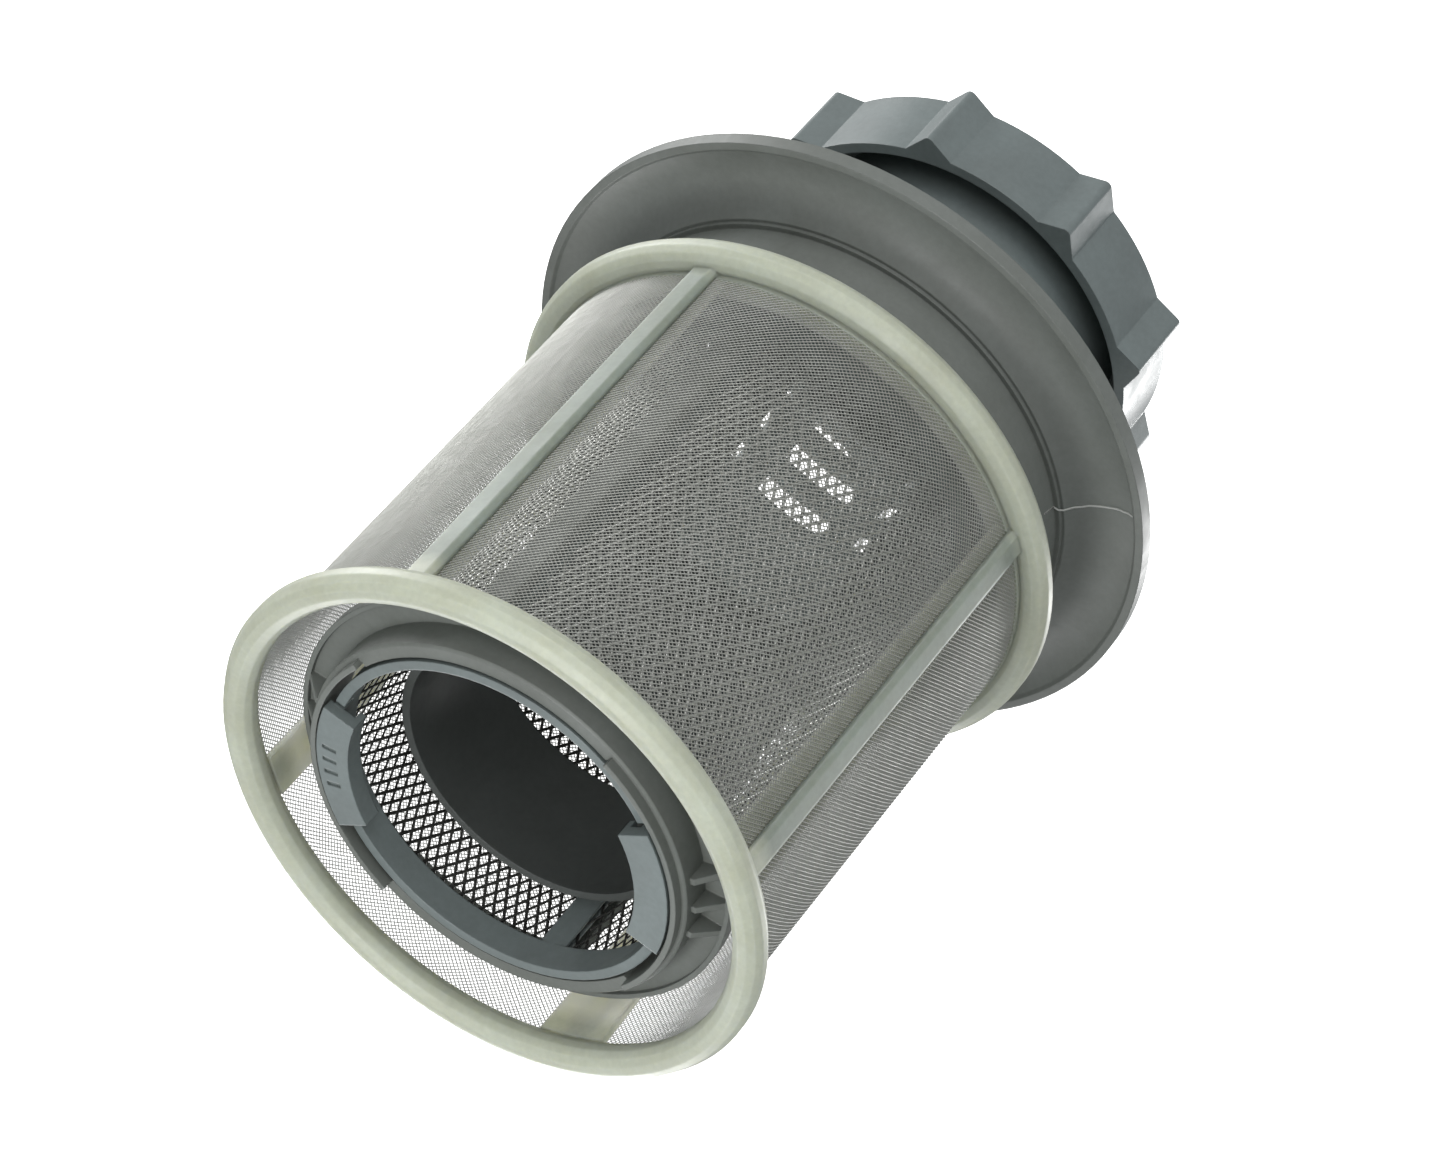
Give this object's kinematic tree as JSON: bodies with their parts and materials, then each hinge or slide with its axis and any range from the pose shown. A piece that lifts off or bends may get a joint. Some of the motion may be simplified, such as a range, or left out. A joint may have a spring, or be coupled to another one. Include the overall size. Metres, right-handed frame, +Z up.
{
  "type": "dishwasher filter",
  "caption": "Round dishwasher filter with a wide flange, a lift-out ribbed knob insert with a diamond mesh, and a fine-cloth micro filter cage.",
  "frame": {"origin": "middle of the circle on which the cage's foot ring stands", "axes": "+Z up the filter's axis from the foot ring to the knob, +X and +Y across the flange"},
  "size_m": [0.0948, 0.0948, 0.1273],
  "materials": {
    "cream_plastic": "moulded, faint satin",
    "fine_cloth": "fine woven mesh",
    "warm_grey_plastic": "moulded, fine grain",
    "blue_grey_plastic": "moulded, fine grain",
    "mesh_metal": "stretched diamond mesh",
    "dark_grey_plastic": "moulded, fine grain"
  },
  "bodies": {
    "micro_filter": {"filter_cage": "cream_plastic", "fine_cloth_1": "fine_cloth", "fine_cloth_2": "fine_cloth", "fine_cloth_3": "fine_cloth", "fine_cloth_4": "fine_cloth"},
    "carrier_body": {"carrier": "warm_grey_plastic"},
    "insert": {"knob_insert": "blue_grey_plastic", "diamond_mesh_1": "mesh_metal", "diamond_mesh_2": "mesh_metal", "inner_tube": "dark_grey_plastic"}
  },
  "joints": [
    {"name": "carrier_lift", "type": "slide", "parent": "micro_filter", "child": "carrier_body", "axis": [0, 0, 1], "range_m": [0, 0.08]},
    {"name": "insert_lift", "type": "slide", "parent": "carrier_body", "child": "insert", "axis": [0, 0, 1], "range_m": [0, 0.095]}
  ]
}
